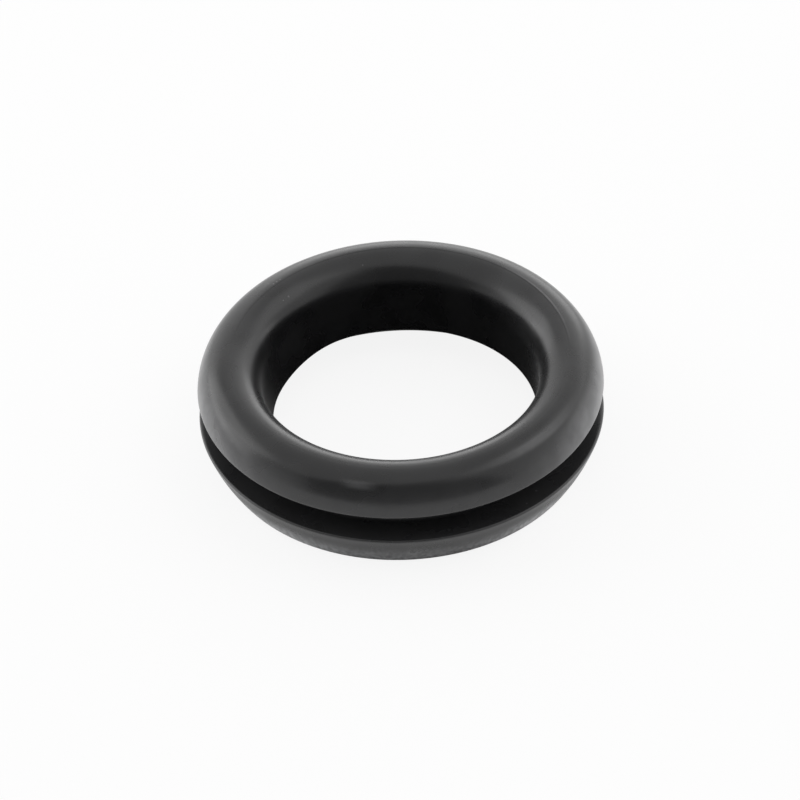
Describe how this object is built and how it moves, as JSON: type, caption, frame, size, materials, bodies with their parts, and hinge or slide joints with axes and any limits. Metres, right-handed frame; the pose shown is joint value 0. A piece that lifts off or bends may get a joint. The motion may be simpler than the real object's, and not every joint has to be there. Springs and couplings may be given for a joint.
{
  "type": "rubber grommet",
  "caption": "Round rubber cable grommet that snaps into a panel hole by the groove round its side, with a smooth flared bore that guards cables from the panel's edge.",
  "frame": {"origin": "on the bore's axis, at the middle of the panel groove's width", "axes": "+Z along the bore, towards the rounded upper flange; the part is a body of revolution about Z"},
  "size_m": [0.03, 0.03, 0.0083],
  "materials": {
    "black_rubber": "satin, compression moulded, faintly mottled"
  },
  "bodies": {
    "root": {"grommet": "black_rubber"}
  },
  "joints": []
}
